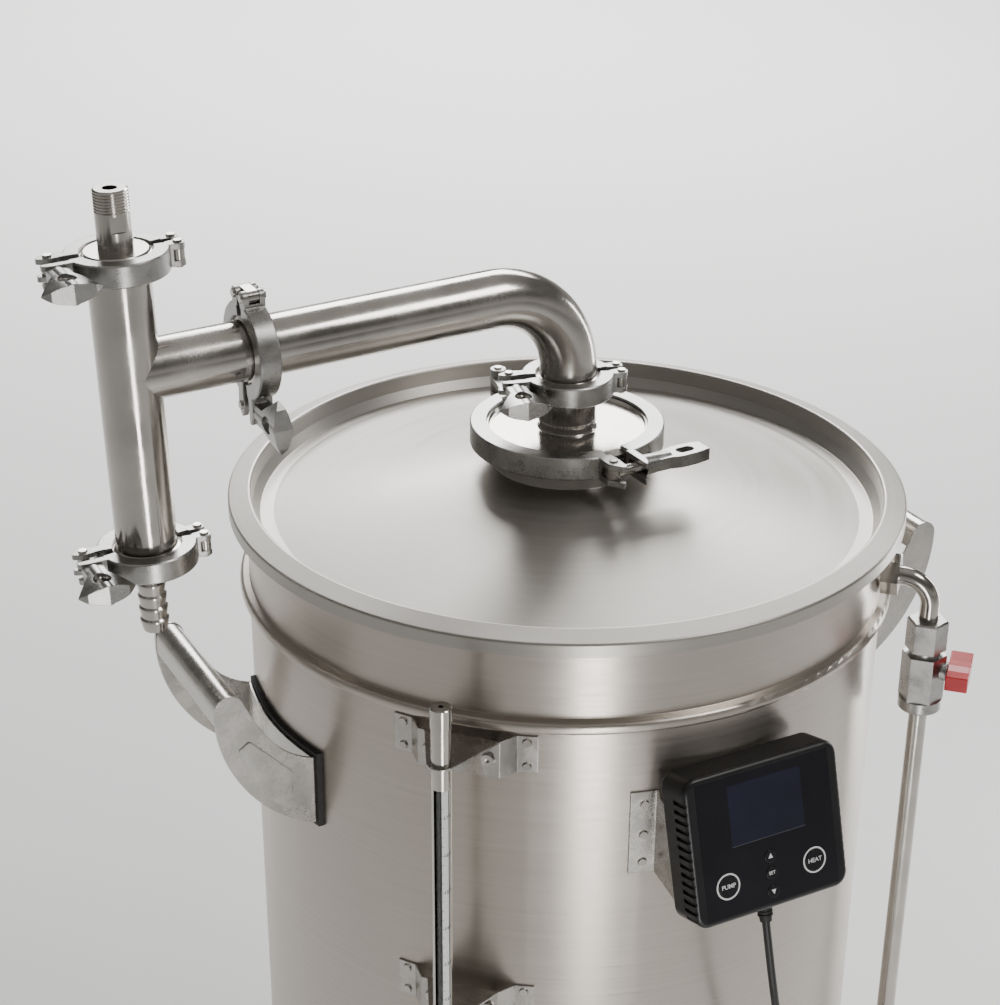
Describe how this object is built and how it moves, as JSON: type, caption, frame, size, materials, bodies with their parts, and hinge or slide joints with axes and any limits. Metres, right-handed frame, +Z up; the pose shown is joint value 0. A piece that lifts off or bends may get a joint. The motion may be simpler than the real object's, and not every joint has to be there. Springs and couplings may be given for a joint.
{
  "type": "electric all in one brewer",
  "caption": "Tall electric brewing kettle on a round base, with a domed lid, a clamped condenser arm, a front controller, a sight tube, side handles and a recirculation line.",
  "frame": {"origin": "on the floor under the kettle's axis", "axes": "+Z up along the kettle's axis, -Y towards the controller's side, +X to the right of someone facing the controller"},
  "size_m": [0.6427, 0.531, 0.9842],
  "materials": {
    "kettle_steel": "fine circumferential brushing",
    "lid_steel": "spun, satin",
    "polished_steel": "mirror polished sanitary tube",
    "cast_steel": "cast and tumbled, soft shine",
    "bracket_steel": "folded sheet, satin",
    "base_paint": "black powder coat",
    "black_plastic": "fine moulded texture",
    "window_plastic": "smoked, glossy",
    "key_plastic": "glossy with white legends",
    "red_lever": "red moulded lever",
    "silicone": "translucent white silicone",
    "black_rubber": "matt",
    "cable_rubber": "satin PVC sheath",
    "sight_glass": "clear tube",
    "drain_paint": "red dipped lever"
  },
  "bodies": {
    "brewer": {"kettle": "kettle_steel", "base_housing": "kettle_steel", "base_plate": "base_paint", "feet": "black_rubber", "heating_element": "polished_steel", "mains_inlet": "black_plastic", "pump_body": "black_plastic", "drain_valve_body": "polished_steel", "left_handle": "bracket_steel", "right_handle": "bracket_steel", "handle_pads": "black_rubber", "sight_guard": "polished_steel", "sight_glass": "sight_glass", "sight_brackets": "bracket_steel", "sight_elbow": "polished_steel", "return_elbow": "polished_steel", "return_union_nut": "cast_steel", "return_valve_body": "cast_steel", "return_pipe": "polished_steel", "controller_bracket": "bracket_steel", "controller_case": "black_plastic", "controller_window": "window_plastic", "controller_cable": "cable_rubber", "cable_reliefs": "black_rubber", "grain_basket": "kettle_steel", "rivets": "polished_steel", "screws": "polished_steel"},
    "lid": {"lid": "lid_steel", "lid_seal": "silicone", "reducer_cap": "polished_steel", "ferrule_gaskets": "silicone", "condenser_arm": "polished_steel", "column_tee": "polished_steel", "threaded_end_cap": "polished_steel", "barbed_end_cap": "polished_steel", "clamp_rear_halves": "cast_steel", "clamp_front_halves": "cast_steel", "clamp_pins": "polished_steel", "lever_clamp_rear_half": "cast_steel", "lever_clamp_front_half": "cast_steel"},
    "pump_rotor": {"pump_impeller": "black_plastic"},
    "drain_valve": {"drain_valve_ball": "polished_steel", "drain_valve_lever": "drain_paint"},
    "return_valve": {"return_valve_ball": "polished_steel", "return_valve_lever": "red_lever"},
    "pump_key": {"pump_button": "key_plastic"},
    "heat_key": {"heat_button": "key_plastic"},
    "up_key": {"up_button": "key_plastic"},
    "set_key": {"set_button": "key_plastic"},
    "down_key": {"down_button": "key_plastic"},
    "bolt_top": {"t_bolt_top": "polished_steel"},
    "nut_top": {"wing_nut_top": "cast_steel"},
    "bolt_bottom": {"t_bolt_bottom": "polished_steel"},
    "nut_bottom": {"wing_nut_bottom": "cast_steel"},
    "bolt_arm": {"t_bolt_arm": "polished_steel"},
    "nut_arm": {"wing_nut_arm": "cast_steel"},
    "bolt_elbow": {"t_bolt_elbow": "polished_steel"},
    "nut_elbow": {"wing_nut_elbow": "cast_steel"},
    "bolt_collar": {"lever_clamp_t_bolt": "polished_steel"},
    "nut_collar": {"lever_nut": "cast_steel"}
  },
  "joints": [
    {"name": "lid_lift", "type": "slide", "parent": "brewer", "child": "lid", "axis": [0, 0, 1], "range_m": [0, 0.15]},
    {"name": "bolt_swing_top", "type": "hinge", "parent": "lid", "child": "bolt_top", "pos_m": [-0.34281, 0.0075, 0.93926], "axis": [0.0253, 0, -0.9997], "range_deg": [0, 100]},
    {"name": "nut_spin_top", "type": "hinge", "parent": "bolt_top", "child": "nut_top", "pos_m": [-0.34281, 0.0075, 0.93926], "axis": [0, -1, 0], "continuous": true},
    {"name": "bolt_swing_bottom", "type": "hinge", "parent": "lid", "child": "bolt_bottom", "pos_m": [-0.33796, 0.0075, 0.74792], "axis": [0.0253, 0, -0.9997], "range_deg": [0, 100]},
    {"name": "nut_spin_bottom", "type": "hinge", "parent": "bolt_bottom", "child": "nut_bottom", "pos_m": [-0.33796, 0.0075, 0.74792], "axis": [0, -1, 0], "continuous": true},
    {"name": "bolt_swing_arm", "type": "hinge", "parent": "lid", "child": "bolt_arm", "pos_m": [-0.22206, 0.0075, 0.83218], "axis": [0.9997, 0, 0.0253], "range_deg": [0, 100]},
    {"name": "nut_spin_arm", "type": "hinge", "parent": "bolt_arm", "child": "nut_arm", "pos_m": [-0.22206, 0.0075, 0.83218], "axis": [0, -1, 0], "continuous": true},
    {"name": "bolt_swing_elbow", "type": "hinge", "parent": "lid", "child": "bolt_elbow", "pos_m": [-0.03631, 0.01608, 0.8072], "axis": [0, 0, -1], "range_deg": [0, 100]},
    {"name": "nut_spin_elbow", "type": "hinge", "parent": "bolt_elbow", "child": "nut_elbow", "pos_m": [-0.03631, 0.01608, 0.8072], "axis": [-0.225, -0.9744, 0], "continuous": true},
    {"name": "bolt_swing_collar", "type": "hinge", "parent": "lid", "child": "bolt_collar", "pos_m": [-0.00728, -0.07389, 0.7723], "axis": [0, 0, -1], "range_deg": [0, 100]},
    {"name": "nut_spin_collar", "type": "hinge", "parent": "bolt_collar", "child": "nut_collar", "pos_m": [-0.00728, -0.07389, 0.7723], "axis": [0.999, 0.0436, 0], "continuous": true},
    {"name": "drain_valve_turn", "type": "hinge", "parent": "brewer", "child": "drain_valve", "pos_m": [0, -0.252, 0.178], "axis": [0, 0, 1], "range_deg": [0, 90]},
    {"name": "return_valve_turn", "type": "hinge", "parent": "brewer", "child": "return_valve", "pos_m": [0.17819, -0.17819, 0.631], "axis": [0.7071, -0.7071, 0], "range_deg": [0, 90]},
    {"name": "pump_spin", "type": "hinge", "parent": "brewer", "child": "pump_rotor", "pos_m": [0.09475, -0.09475, 0.05], "axis": [0, 0, 1], "continuous": true},
    {"name": "pump_press", "type": "slide", "parent": "brewer", "child": "pump_key", "axis": [0, 0.9613, -0.2756], "range_m": [0, 0.0008], "stiffness_N_per_m": 1500, "springref_m": -0.0005},
    {"name": "heat_press", "type": "slide", "parent": "brewer", "child": "heat_key", "axis": [0, 0.9613, -0.2756], "range_m": [0, 0.0008], "stiffness_N_per_m": 1500, "springref_m": -0.0005},
    {"name": "up_press", "type": "slide", "parent": "brewer", "child": "up_key", "axis": [0, 0.9613, -0.2756], "range_m": [0, 0.0008], "stiffness_N_per_m": 1500, "springref_m": -0.0005},
    {"name": "set_press", "type": "slide", "parent": "brewer", "child": "set_key", "axis": [0, 0.9613, -0.2756], "range_m": [0, 0.0008], "stiffness_N_per_m": 1500, "springref_m": -0.0005},
    {"name": "down_press", "type": "slide", "parent": "brewer", "child": "down_key", "axis": [0, 0.9613, -0.2756], "range_m": [0, 0.0008], "stiffness_N_per_m": 1500, "springref_m": -0.0005}
  ]
}
